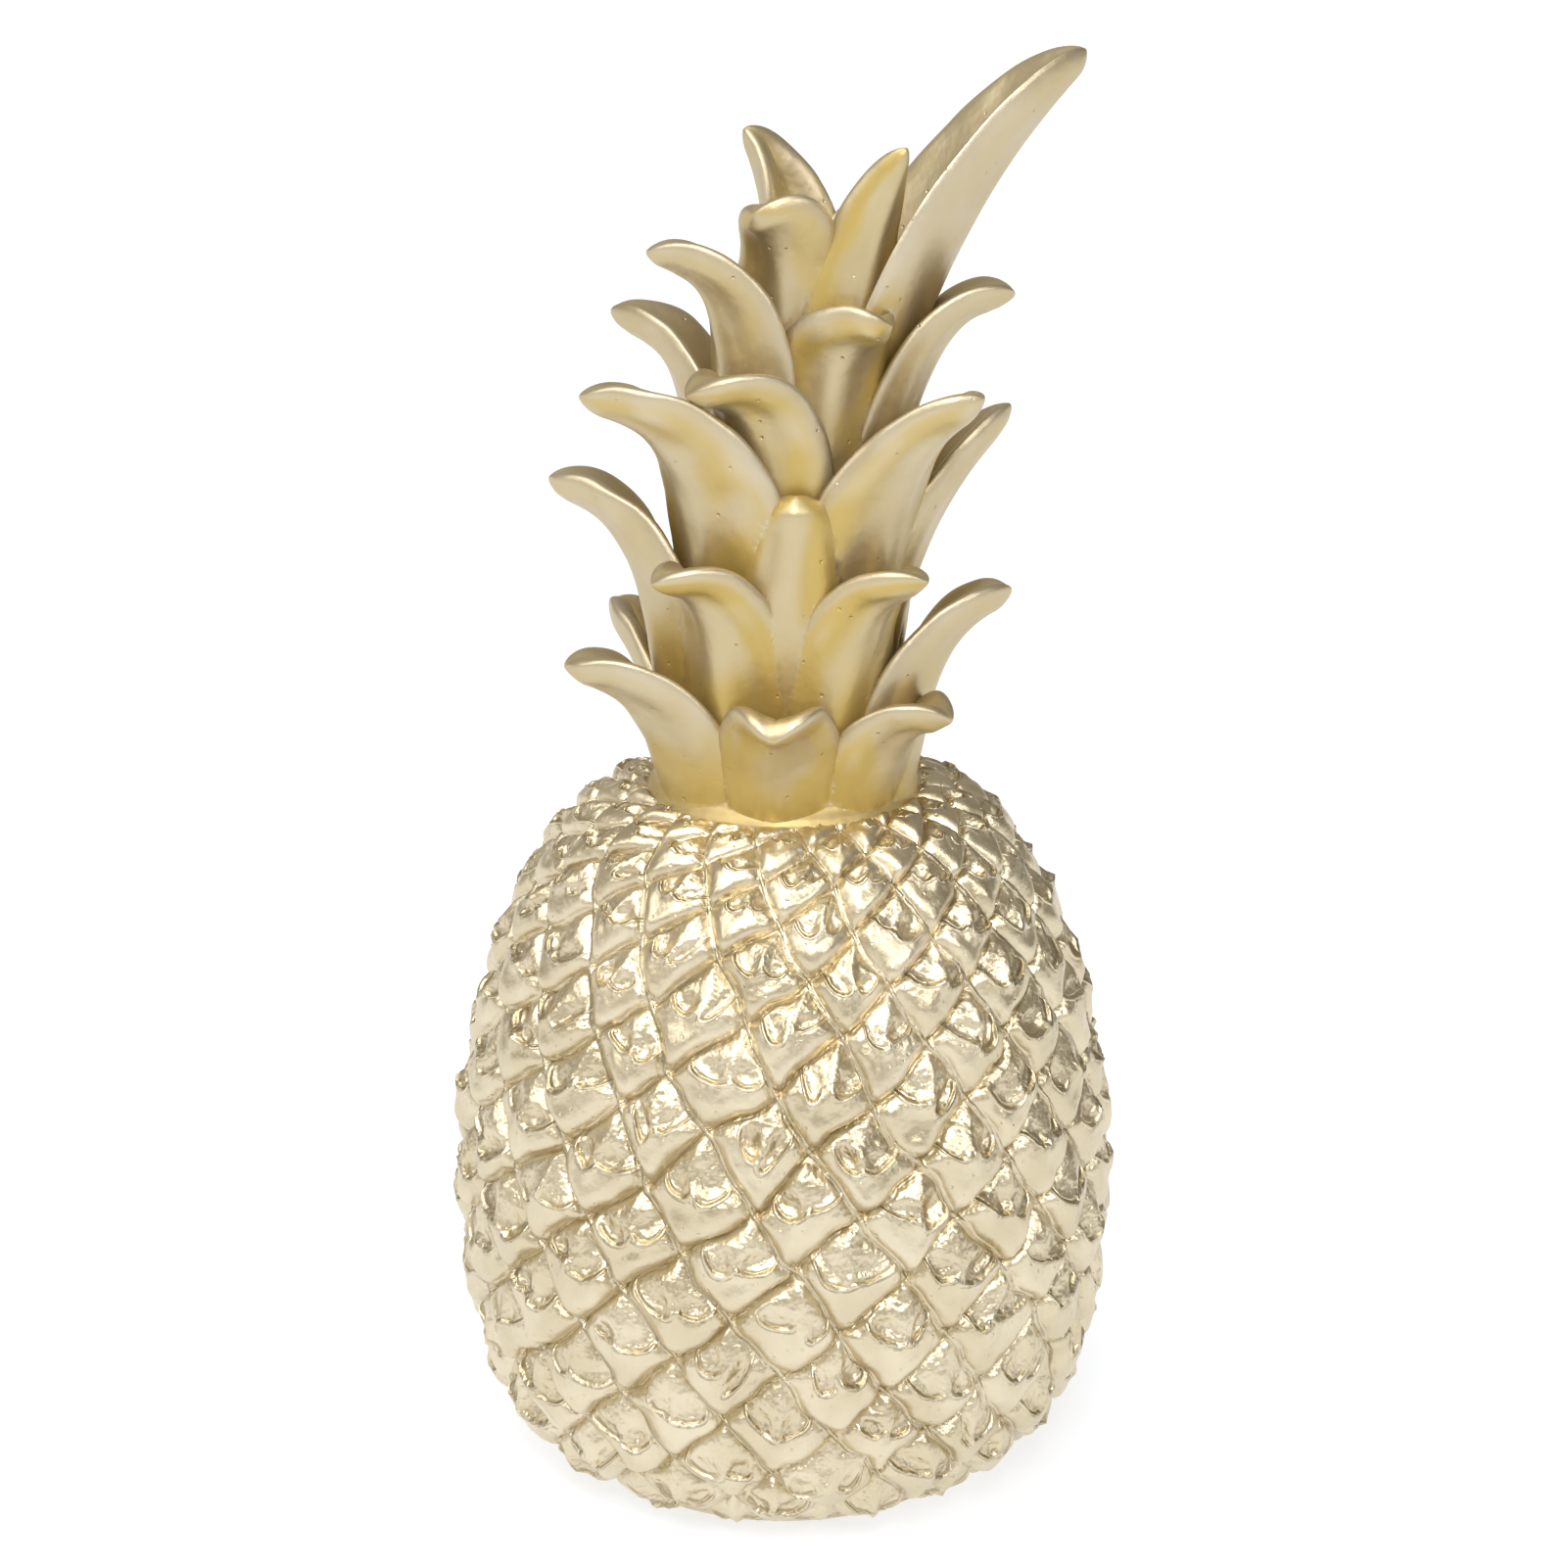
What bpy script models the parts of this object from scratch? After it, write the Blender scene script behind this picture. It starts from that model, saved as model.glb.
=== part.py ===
"""A cast shelf ornament: a pineapple with diamond scales and a crown of thick leaves.

The fruit is a turned body covered by two crossing families of spiral grooves. Every diamond between
the grooves is one scale. The crown is a leaning stalk with leaves that rise, cup and curl outward.
All of it is one casting, so it ends as one closed solid that stands on a flat circle at the origin.
"""

import math
from collections import namedtuple

import bmesh
import bpy
import numpy as np

MM = 0.001

# Fruit: height and radius of the turned outline, from the flat underside to the collar
OUTLINE = ((0.0, 36.0), (10.0, 48.3), (22.6, 53.9), (40.2, 56.7), (59.1, 57.0), (78.0, 54.4),
           (95.6, 49.7), (110.7, 42.3), (119.4, 35.3), (123.2, 28.0), (124.2, 23.5))
FRUIT_TOP = OUTLINE[-1][0]
FRUIT_RADIUS = 57.0

# Scales: 16 shallow and 21 steep spirals of grooves cross all over the fruit
SHALLOW_SPIRALS = 16
STEEP_SPIRALS = 21
STEEP_TURN = 7.69           # degrees to the right for one scale down a steep groove
FIRST_CROSSING = (-6.2, 69.0)   # azimuth and height of one crossing of two grooves on the front
SCALE_PITCH = 11.6          # length of one scale edge's drop at the widest girth
PITCH_TAPER = 0.75          # how closely the scales shrink with the girth
TWIST = (0.244, -0.0065)    # slow swirl of the grooves away from the first crossing
GROOVE_DEPTH = 2.5
SLOPE_STEP = 0.1            # rows above and below a place that give the outline's slope there
LEAST_CLEARANCE = 0.6       # points of a scale that the ground cuts stay this far above it
CREST = 0.4                 # the middle of a scale stands this far proud of the turned outline

# Crown: a stalk that tapers and leans to the right towards its top
STALK_FOOT = 112.0
STALK_TOP = 210.0
STALK_FOOT_RADIUS = 20.0
STALK_TOP_RADIUS = 6.0
CROWN_LEAN = 11.0           # sideways shift of the crown's middle line at the lean height
LEAN_HEIGHT = 106.0
LEAF_THICKNESS = 5.0
LEAF_CUP = 0.42             # depth of a leaf's hollow as a share of its half width
LEAF_ROOT = 0.5             # a leaf's middle line starts this far outside the stalk
LEAF_START_HANDLE = (0.10, 0.42)    # outward and upward pull of the line's start, in chords
LEAF_END_HANDLE = 0.36      # pull of the line's end against its pitch, in chords
LEAF_SWELL = (0.14, 0.7)    # share of the width that swells, and up to where along the leaf
LEAF_CLOSING = (4, 0.6)     # how bluntly the width closes towards the tip
LEAF_TILT = (1.5, 42.0)     # tilt of the width for each degree of turn, and the most, in degrees
THIN_END = (0.35, 7.0)      # least thickness as a share, and the half width that brings the rest

Leaf = namedtuple("Leaf", "azimuth turn foot reach top pitch width")

# One leaf a line: foot azimuth, turn of the tip, foot height, tip reach, tip height, tip pitch, width
LEAVES = (
    # lowest ring, standing on the collar
    Leaf(-3, 0, 120, 35, 143, -28, 21.5),
    Leaf(44, 8, 120, 35, 142, -22, 21.5),
    Leaf(-54, -12, 120, 41, 150, 0, 24.0),
    Leaf(70, 14, 120, 37.5, 160, 15, 26.0),
    Leaf(-108, -10, 120, 35, 152, 20, 21.0),
    Leaf(146, 0, 120, 34, 147, 10, 22.0),
    Leaf(-160, 0, 120, 35, 149, 15, 22.0),
    # second ring, between the first
    Leaf(-28, -14, 130, 35, 167, -8, 22.0),
    Leaf(27, 14, 130, 33, 167, 5, 22.0),
    Leaf(-3, 0, 138, 22, 181, 84, 20.0),
    Leaf(-76, -10, 132, 42.5, 179, 10, 25.0),
    Leaf(124, 0, 134, 30, 172, 30, 21.0),
    Leaf(176, 0, 134, 34, 170, 20, 22.0),
    Leaf(-134, 0, 134, 30, 172, 35, 21.0),
    # third ring
    Leaf(-42, -20, 148, 43.5, 197, 8, 28.0),
    Leaf(42, 10, 148, 34.5, 197, 32, 27.0),
    Leaf(88, 8, 148, 34, 190, 45, 21.0),
    Leaf(-20, -20, 158, 33, 198, -12, 23.0),
    Leaf(155, 0, 152, 31, 194, 30, 20.0),
    Leaf(-146, 0, 152, 35, 189, 25, 21.0),
    # fourth ring
    Leaf(4, 26, 168, 21, 208, 18, 27.0),
    Leaf(80, 4, 170, 31, 210, -5, 22.0),
    Leaf(-50, -20, 172, 33, 219, 5, 20.5),
    Leaf(-98, -6, 168, 36.5, 205, 5, 21.0),
    Leaf(140, 0, 172, 26, 214, 35, 18.0),
    Leaf(-165, 0, 172, 28, 214, 35, 19.0),
    # top cluster with the one tall leaf
    Leaf(-42, -2, 178, 21.5, 226, 22, 21.0),
    Leaf(22, 8, 184, 15, 236, 62, 18.0),
    Leaf(195, 43, 188, 22, 235, 58, 17.5),
    Leaf(172, 0, 186, 15, 222, 60, 16.0),
    Leaf(99, 0, 184, 34.5, 249, 54, 31.0),
)

# Cross-section of a leaf, from one edge over the outer face to the other and back inside:
# place across the half width, and side of the middle surface in half thicknesses
LEAF_RING = ((-1.0, 0.0), (-0.62, 0.8), (0.0, 1.0), (0.62, 0.8),
             (1.0, 0.0), (0.62, -0.8), (0.0, 0.25), (-0.62, -0.8))
LEAF_STATIONS = (0.0, 0.24, 0.44, 0.62, 0.78, 0.91)


def clear_scene():
    """Remove every object, so that a second run gives the same scene."""
    for item in list(bpy.data.objects):
        bpy.data.objects.remove(item, do_unlink=True)


def smooth_outline(samples=400):
    """Return heights, radii and lengths along one smooth curve through the outline's points.

    The curve is a Catmull-Rom spline: between two points it blends four neighbours with the usual
    cubic weights, so it passes through every point without a corner.
    """
    points = np.array(OUTLINE)
    padded = np.vstack([2 * points[0] - points[1], points, 2 * points[-1] - points[-2]])
    place = np.linspace(0, len(points) - 1 - 1e-9, samples)
    first = place.astype(int)
    f = (place - first)[:, None]
    p0, p1, p2, p3 = (padded[first + k] for k in range(4))
    curve = 0.5 * (2 * p1 + (p2 - p0) * f + (2 * p0 - 5 * p1 + 4 * p2 - p3) * f ** 2
                   + (3 * p1 - p0 - 3 * p2 + p3) * f ** 3)
    steps = np.hypot(*np.diff(curve, axis=0).T)
    return curve[:, 0], curve[:, 1], np.concatenate([[0.0], np.cumsum(steps)])


HEIGHTS, RADII, LENGTHS = smooth_outline()


def row_scale():
    """Return the row number of the groove lattice at every sample of the outline.

    Going down by one row moves SCALE_PITCH * (radius / FRUIT_RADIUS) ** PITCH_TAPER along the curve.
    Row 0 is at the height of the first crossing, and rows are counted downward.
    """
    density = 1.0 / (SCALE_PITCH * (RADII / FRUIT_RADIUS) ** PITCH_TAPER)
    middle = 0.5 * (density[1:] + density[:-1]) * np.diff(LENGTHS)
    climbed = np.concatenate([[0.0], np.cumsum(middle)])
    return np.interp(FIRST_CROSSING[1], HEIGHTS, climbed) - climbed


ROWS = row_scale()
TOP_ROW = ROWS[-1]
BOTTOM_ROW = ROWS[0]


def lattice_row(steep, shallow):
    """Return the row of a lattice place. All places of one row lie on one level circle."""
    return steep + shallow * SHALLOW_SPIRALS / STEEP_SPIRALS


def fruit_point(steep, shallow, sink):
    """Return the point at lattice place (steep, shallow), sunk below the turned outline by `sink`.

    One step along `steep` goes down a steep groove to the right, one step along `shallow` goes down
    a shallow groove to the left. Places past either end of the fruit are held on its end circle.
    """
    row = lattice_row(steep, shallow)
    shallow_turn = (SHALLOW_SPIRALS * STEEP_TURN - 360.0) / STEEP_SPIRALS
    azimuth = (FIRST_CROSSING[0] + steep * STEEP_TURN + shallow * shallow_turn
               + TWIST[0] * row ** 2 + TWIST[1] * row ** 3)
    held = min(max(row, TOP_ROW), BOTTOM_ROW)
    height = np.interp(held, ROWS[::-1], HEIGHTS[::-1])
    radius = np.interp(held, ROWS[::-1], RADII[::-1])
    if TOP_ROW < row < BOTTOM_ROW:
        above, below = held - SLOPE_STEP, held + SLOPE_STEP
        widening = np.interp(below, ROWS[::-1], RADII[::-1]) - np.interp(above, ROWS[::-1], RADII[::-1])
        drop = np.interp(above, ROWS[::-1], HEIGHTS[::-1]) - np.interp(below, ROWS[::-1], HEIGHTS[::-1])
        slant = math.hypot(widening, drop)
        radius -= sink * drop / slant
        height = max(height - sink * widening / slant, 0.0)
    angle = math.radians(azimuth)
    return np.array((radius * math.sin(angle), -radius * math.cos(angle), height)) * MM


# Points inside a scale: share of the way along its steep and its shallow edge, and sink there.
# A scale climbs from under the one above it to a ridge across its middle, whose centre is a blunt
# spike, and ends in a full lower lip.
SCALE_POINTS = {
    "crown": (0.18, 0.18, 0.50 * GROOVE_DEPTH),
    "left": (0.24, 0.78, 0.25 * GROOVE_DEPTH),
    "right": (0.78, 0.24, 0.25 * GROOVE_DEPTH),
    "lip": (0.85, 0.85, 0.10 * GROOVE_DEPTH),
    "spike": (0.54, 0.54, -CREST),
}
CORNER_NAMES = ("top corner", "right corner", "bottom corner", "left corner")
SCALE_FACES = (
    ("top corner", "left corner", "left"), ("top corner", "left", "crown"),
    ("left corner", "bottom corner", "lip"), ("left corner", "lip", "left"),
    ("bottom corner", "right corner", "right"), ("bottom corner", "right", "lip"),
    ("right corner", "top corner", "crown"), ("right corner", "crown", "right"),
    ("left", "lip", "spike"), ("lip", "right", "spike"),
    ("crown", "left", "spike"), ("right", "crown", "spike"),
)


def build_fruit():
    """Return the scaly fruit as one closed mesh object, flat below and above."""
    bm = bmesh.new()
    corners = {}
    end_circles = {TOP_ROW: [], BOTTOM_ROW: []}

    def corner(steep, shallow):
        """A crossing of two grooves, shared by the four scales around it."""
        turns, shallow_left = divmod(shallow, STEEP_SPIRALS)
        key = (steep + turns * SHALLOW_SPIRALS, shallow_left)
        if key not in corners:
            corners[key] = bm.verts.new(fruit_point(*key, GROOVE_DEPTH))
            row = lattice_row(*key)
            for end, circle in end_circles.items():
                if (row - end) * end >= 0.0:
                    circle.append(corners[key])
        return corners[key]

    for shallow in range(STEEP_SPIRALS):
        first = math.floor(TOP_ROW - lattice_row(0, shallow)) - 2
        for steep in range(first, first + math.ceil(BOTTOM_ROW - TOP_ROW) + 4):
            places = ((steep, shallow), (steep + 1, shallow), (steep + 1, shallow + 1), (steep, shallow + 1))
            rows = [lattice_row(*place) for place in places]
            if max(rows) <= TOP_ROW or min(rows) >= BOTTOM_ROW:
                continue
            spot = dict(zip(CORNER_NAMES, (corner(*place) for place in places)))
            cut = min(rows) < TOP_ROW or max(rows) > BOTTOM_ROW
            for name, (a, b, sink) in SCALE_POINTS.items():
                if cut:
                    place = cut_scale_point([spot[key].co for key in CORNER_NAMES], a, b, GROOVE_DEPTH - sink)
                else:
                    place = fruit_point(steep + a, shallow + b, sink)
                spot[name] = bm.verts.new(place)
            for face in SCALE_FACES:
                bm.faces.new([spot[name] for name in face])
    for end, circle in end_circles.items():
        ordered = sorted(circle, key=lambda vert: math.atan2(vert.co.x, -vert.co.y))
        bm.faces.new(ordered)
    bmesh.ops.recalc_face_normals(bm, faces=bm.faces)
    return object_from("pineapple", bm)


def cut_scale_point(corners, a, b, rise):
    """Return a point of a scale that an end circle cuts, blended from its four corners.

    The rise is cut down with the area that is left of the scale, and stays off the ground.
    """
    top, right, bottom, left = corners
    place = top * (1 - a) * (1 - b) + right * a * (1 - b) + bottom * a * b + left * (1 - a) * b
    area = (bottom - top).cross(left - right)
    share = min(1.0, area.length / (2 * (SCALE_PITCH * MM) ** 2))
    lifted = place - area.normalized() * rise * share * MM
    lifted.z = max(lifted.z, min(place.z, LEAST_CLEARANCE * MM))
    return lifted


def object_from(name, bm):
    """Turn a bmesh into a mesh object in the scene."""
    mesh = bpy.data.meshes.new(name)
    bm.to_mesh(mesh)
    bm.free()
    item = bpy.data.objects.new(name, mesh)
    bpy.context.scene.collection.objects.link(item)
    return item


def crown_middle(height):
    """Return the sideways place of the crown's middle line, which leans more and more with height."""
    share = np.maximum(height - FRUIT_TOP, 0.0) / LEAN_HEIGHT
    return CROWN_LEAN * share ** 2


def stalk_radius(height):
    """Return the stalk's radius, which tapers evenly from foot to top."""
    share = (height - STALK_FOOT) / (STALK_TOP - STALK_FOOT)
    return STALK_FOOT_RADIUS + (STALK_TOP_RADIUS - STALK_FOOT_RADIUS) * share


def build_stalk(sides=14, levels=6):
    """Return the tapering stalk that the leaves grow from."""
    bm = bmesh.new()
    rings = []
    for height in np.linspace(STALK_FOOT, STALK_TOP, levels):
        radius = stalk_radius(height)
        middle = crown_middle(height)
        rings.append([bm.verts.new(((middle + radius * math.sin(angle)) * MM, -radius * math.cos(angle) * MM,
                                    height * MM))
                      for angle in np.linspace(0, 2 * math.pi, sides, endpoint=False)])
    loft(bm, rings)
    bm.faces.new(rings[-1])
    bm.faces.new(rings[0][::-1])
    return object_from("stalk", bm)


def loft(bm, rings):
    """Join each ring of points to the next one by a band of quads."""
    for lower, upper in zip(rings, rings[1:]):
        for k in range(len(lower)):
            after = (k + 1) % len(lower)
            bm.faces.new((lower[k], lower[after], upper[after], upper[k]))


def leaf_path(leaf, share):
    """Return radius and height of a leaf's middle line, and their rates of change, at `share` of it.

    The line is a cubic Bezier curve: it leaves the stalk upward and ends at the tip in the
    direction of the leaf's pitch.
    """
    start = np.array([stalk_radius(leaf.foot) + LEAF_ROOT, leaf.foot])
    end = np.array([leaf.reach, leaf.top])
    chord = np.hypot(*(end - start))
    pitch = math.radians(leaf.pitch)
    after_start = start + chord * np.array(LEAF_START_HANDLE)
    before_end = end - chord * LEAF_END_HANDLE * np.array([math.cos(pitch), math.sin(pitch)])
    s = share
    place = (start * (1 - s) ** 3 + 3 * after_start * (1 - s) ** 2 * s
             + 3 * before_end * (1 - s) * s ** 2 + end * s ** 3)
    rate = (3 * (after_start - start) * (1 - s) ** 2 + 6 * (before_end - after_start) * (1 - s) * s
            + 3 * (end - before_end) * s ** 2)
    return place, rate


def leaf_half_width(leaf, share):
    """Return half the leaf's width: full and slightly swelling low down, then closing to the tip."""
    swelling, until = LEAF_SWELL
    power, softness = LEAF_CLOSING
    swell = 1.0 - swelling + swelling * math.sin(math.pi * min(share / until, 1.0))
    return 0.5 * leaf.width * swell * (1.0 - share ** power) ** softness


def leaf_point(leaf, share, across, side):
    """Return one point of a leaf's skin.

    `across` runs over the half width and `side` over the half thickness. The middle surface sinks
    towards the stalk with the square of `across`, which cups the leaf. The width tilts as the leaf
    turns, so that it stays nearly square to the middle line.
    """
    (radius, height), (out, up) = leaf_path(leaf, share)
    size = math.hypot(out, up)
    half = leaf_half_width(leaf, share)
    thick = 0.5 * LEAF_THICKNESS * min(1.0, THIN_END[0] + half / THIN_END[1])
    lift = side * thick - LEAF_CUP * half * across ** 2
    most = LEAF_TILT[1]
    tilt = math.radians(max(-most, min(most, LEAF_TILT[0] * leaf.turn))) * share ** 2
    sideways = across * half * math.cos(tilt)
    lengthways = -across * half * math.sin(tilt)
    radius += (lift * up + lengthways * out) / size
    height += (lengthways * up - lift * out) / size
    angle = math.radians(leaf.azimuth + leaf.turn * share ** 2)
    x = crown_middle(height) + radius * math.sin(angle) + sideways * math.cos(angle)
    y = -radius * math.cos(angle) + sideways * math.sin(angle)
    return (x * MM, y * MM, height * MM)


def build_leaf(leaf, number):
    """Return one leaf as a closed tapering solid."""
    bm = bmesh.new()
    rings = [[bm.verts.new(leaf_point(leaf, share, across, side)) for across, side in LEAF_RING]
             for share in LEAF_STATIONS]
    loft(bm, rings)
    tip = bm.verts.new(leaf_point(leaf, 1.0, 0.0, 0.0))
    last = rings[-1]
    for k in range(len(last)):
        bm.faces.new((last[k], last[(k + 1) % len(last)], tip))
    bm.faces.new(rings[0][::-1])
    bmesh.ops.triangulate(bm, faces=bm.faces)
    bmesh.ops.recalc_face_normals(bm, faces=bm.faces)
    return object_from(f"leaf_{number:02d}", bm)


def gold_paint():
    """Return the champagne gold paint of the casting."""
    material = bpy.data.materials.new("champagne gold")
    material.use_nodes = True
    shader = material.node_tree.nodes["Principled BSDF"]
    shader.inputs["Base Color"].default_value = (0.62, 0.53, 0.34, 1.0)
    shader.inputs["Metallic"].default_value = 0.85
    shader.inputs["Roughness"].default_value = 0.35
    return material


def fuse(base, parts):
    """Unite the parts with the base in one exact Boolean, then hide them as guides."""
    guides = bpy.data.collections.new("crown guides")
    bpy.context.scene.collection.children.link(guides)
    for part in parts:
        bpy.context.scene.collection.objects.unlink(part)
        guides.objects.link(part)
        part.hide_render = True
        part.display_type = "WIRE"
    union = base.modifiers.new("crown", "BOOLEAN")
    union.operation = "UNION"
    union.operand_type = "COLLECTION"
    union.collection = guides
    union.solver = "EXACT"


def main():
    clear_scene()
    fruit = build_fruit()
    crown = [build_stalk()] + [build_leaf(leaf, number) for number, leaf in enumerate(LEAVES, 1)]
    fuse(fruit, crown)
    fruit.data.materials.append(gold_paint())
    fruit.data.shade_smooth()
    fruit.data.set_sharp_from_angle(angle=math.radians(40))


main()
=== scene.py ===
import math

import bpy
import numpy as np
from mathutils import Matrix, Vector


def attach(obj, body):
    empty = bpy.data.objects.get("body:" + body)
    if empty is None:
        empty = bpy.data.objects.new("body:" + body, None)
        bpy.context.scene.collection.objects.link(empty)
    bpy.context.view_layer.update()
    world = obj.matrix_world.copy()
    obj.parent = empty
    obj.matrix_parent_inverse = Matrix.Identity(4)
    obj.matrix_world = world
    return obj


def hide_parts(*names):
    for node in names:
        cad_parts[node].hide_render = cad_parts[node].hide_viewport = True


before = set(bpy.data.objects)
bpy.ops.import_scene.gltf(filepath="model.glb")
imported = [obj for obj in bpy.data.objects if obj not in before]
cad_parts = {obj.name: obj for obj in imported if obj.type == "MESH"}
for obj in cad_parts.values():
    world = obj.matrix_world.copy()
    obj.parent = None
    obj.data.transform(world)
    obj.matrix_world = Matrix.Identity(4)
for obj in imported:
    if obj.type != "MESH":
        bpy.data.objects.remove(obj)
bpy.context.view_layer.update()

# %% [markdown]
# # A cast pineapple in champagne gold
# The real object is a shelf ornament, cast in one piece in resin and painted with a metallic paint.
# Its fruit is glossy and crowded with diamond scales, and its crown is satin with thick curled leaves.
# The solid model already has the right size and the main shapes with a few thousand triangles. Here
# both halves are worked out again as fine surfaces from the same few sizes, and then they get their
# paint, a floor, lights and a camera. All lengths are millimetres until a mesh is made, and only the
# floor and the lamps are given in metres.

MM = 0.001
scene = bpy.context.scene


def ease(value, low, high):
    """Return 0 below `low`, 1 above `high` and the smooth curve 3t² - 2t³ between them."""
    t = np.clip((value - low) / (high - low), 0.0, 1.0)
    return t * t * (3.0 - 2.0 * t)


def bell(value, width):
    """Return the bell curve exp(-(value / width)²)."""
    return np.exp(-(value / width) ** 2)


def ripple(points, size, seed, waves=9):
    """Return gentle unevenness for places in space, about -1.5 to 1.5, with bumps about `size` apart.

    It is a sum of sine waves that run in random directions through space, each with a length near
    twice `size`, divided by the square root of half their number.
    """
    rng = np.random.default_rng(seed)
    way = rng.normal(size=(3, waves))
    way *= math.pi / size * rng.uniform(0.7, 1.4, waves) / np.linalg.norm(way, axis=0)
    phase = rng.uniform(0.0, 2.0 * math.pi, waves)
    return np.sin(points @ way + phase).sum(axis=-1) / math.sqrt(waves / 2.0)


# %% [markdown]
# ## The camera
# The camera comes first, because it decides which details are worth making. The photograph looks down
# on the ornament by 19 degrees from about 65 cm away. These numbers were found by fitting the outline
# of the fruit and the crossings of its grooves, so the picture's perspective comes out right too.

# %% Camera
CAMERA_DISTANCE = 655.5
CAMERA_RISE = math.radians(19.13)
LOOK_AT = Vector((0.0, 0.0, 123.7)) * MM
PICTURE_SIDE = 1601
FOCAL_PIXELS = 3871.2

lens = bpy.data.cameras.new("camera")
lens.sensor_width = 36.0
lens.lens = lens.sensor_width * FOCAL_PIXELS / PICTURE_SIDE
lens.clip_start = 0.01
camera = bpy.data.objects.new("camera", lens)
towards_camera = Vector((0.0, -math.cos(CAMERA_RISE), math.sin(CAMERA_RISE)))
camera.location = LOOK_AT + towards_camera * CAMERA_DISTANCE * MM
camera.rotation_euler = (LOOK_AT - camera.location).to_track_quat("-Z", "Y").to_euler()
scene.collection.objects.link(camera)
scene.camera = camera
scene.view_settings.view_transform = "Standard"
print("lens", round(lens.lens, 1), "mm, camera at", [round(v, 3) for v in camera.location])

# %% [markdown]
# ## The outline of the fruit
# Without its scales the fruit is a turned body, like a vase on a lathe. A few measured points give its
# radius at each height. A spline through them could be a curve object with a Screw modifier, but the
# scales need the outline as numbers, so the same spline is worked out here as arrays.

# %% Outline of the fruit
OUTLINE = np.array(((0.0, 36.0), (10.0, 48.3), (22.6, 53.9), (40.2, 56.7), (59.1, 57.0), (78.0, 54.4),
                    (95.6, 49.7), (110.7, 42.3), (119.4, 35.3), (123.2, 28.0), (124.2, 23.5)))
FRUIT_TOP = OUTLINE[-1, 0]
FRUIT_RADIUS = 57.0


def through(points, samples):
    """Return `samples` points on a smooth curve through the given points.

    It is the Catmull-Rom spline: each stretch is a cubic of its two ends and their two neighbours.
    """
    padded = np.vstack([2 * points[0] - points[1], points, 2 * points[-1] - points[-2]])
    place = np.linspace(0.0, len(points) - 1 - 1e-9, samples)
    first = place.astype(int)
    f = (place - first)[:, None]
    p0, p1, p2, p3 = (padded[first + k] for k in range(4))
    return 0.5 * (2 * p1 + (p2 - p0) * f + (2 * p0 - 5 * p1 + 4 * p2 - p3) * f ** 2
                  + (3 * p1 - p0 - 3 * p2 + p3) * f ** 3)


heights, radii = through(OUTLINE, 400).T
steps = np.hypot(np.diff(heights), np.diff(radii))
print("the outline is", round(steps.sum(), 1), "mm long from the foot to the collar")

# %% [markdown]
# ## The net of grooves
# The scales of a pineapple lie in spirals. Here 16 shallow grooves go down to the left and 21 steep
# ones go down to the right, and every diamond between them is one scale. A place on the net has two
# numbers, how many scales down a steep groove and how many down a shallow one. Both together give its
# row, which fixes the height, and its azimuth. The rows come closer where the fruit gets narrow, and
# the numbers run on round the fruit, because 16 steps one way end where 21 the other way do.

# %% From net to fruit
SHALLOW_SPIRALS = 16
STEEP_SPIRALS = 21
STEEP_TURN = 7.69
SHALLOW_TURN = (SHALLOW_SPIRALS * STEEP_TURN - 360.0) / STEEP_SPIRALS
SHALLOW_DROP = SHALLOW_SPIRALS / STEEP_SPIRALS
FIRST_AZIMUTH, FIRST_HEIGHT = -6.2, 69.0
SCALE_PITCH = 11.6
PITCH_TAPER = 0.75
TWIST = (0.244, -0.0065)

row_density = 1.0 / (SCALE_PITCH * (radii / FRUIT_RADIUS) ** PITCH_TAPER)
climbed = np.concatenate([[0.0], np.cumsum(0.5 * (row_density[1:] + row_density[:-1]) * steps)])
rows = np.interp(FIRST_HEIGHT, heights, climbed) - climbed
TOP_ROW, BOTTOM_ROW = rows[-1], rows[0]


def at_row(values, row):
    """Return an array of the outline, such as its heights, read at the given rows."""
    return np.interp(row, rows[::-1], values[::-1])


def on_fruit(row, azimuth, rise):
    """Return places that stand `rise` above the turned outline, square to it, as an array of points.

    The outline's slope comes from its points a tenth of a row above and below.
    """
    widening = at_row(radii, row + 0.1) - at_row(radii, row - 0.1)
    drop = at_row(heights, row - 0.1) - at_row(heights, row + 0.1)
    slant = np.hypot(widening, drop)
    radius = at_row(radii, row) + rise * drop / slant
    height = np.maximum(at_row(heights, row) + rise * widening / slant, 0.0)
    angle = np.radians(azimuth)
    return np.stack([radius * np.sin(angle), -radius * np.cos(angle), height], axis=-1)


print("rows", round(TOP_ROW, 2), "to", round(BOTTOM_ROW, 2), "- scales:",
      round((BOTTOM_ROW - TOP_ROW) * STEEP_SPIRALS))

# %% [markdown]
# ## A grid that follows the grooves
# A plain grid of rings and columns would cut across the grooves and turn them into stairs. This grid
# runs along both families of grooves instead, 18 cells to each edge of a scale, so a vertex row lies
# in the bottom of every groove. The cells are narrower near the grooves, where the shape is sharpest.
# Columns are the steps along shallow grooves. Each column starts at its own steep step just above the
# top of the fruit, and what lies past the ends is held on the end circles. A margin of a few steps at
# each end lets neighbouring columns meet there without a gap.

# %% Grid on the fruit
CELLS = 18
CROWDING = 0.30
MARGIN = 4

columns = STEEP_SPIRALS * CELLS
length = math.ceil((BOTTOM_ROW - TOP_ROW) * CELLS) + 2 * MARGIN
column_start = np.floor(TOP_ROW * CELLS - np.arange(columns + 1) * SHALLOW_DROP).astype(int) - MARGIN
steep_step = column_start[:columns, None] + np.arange(length)[None, :]
shallow_step = np.repeat(np.arange(columns)[:, None], length, axis=1)


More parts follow.
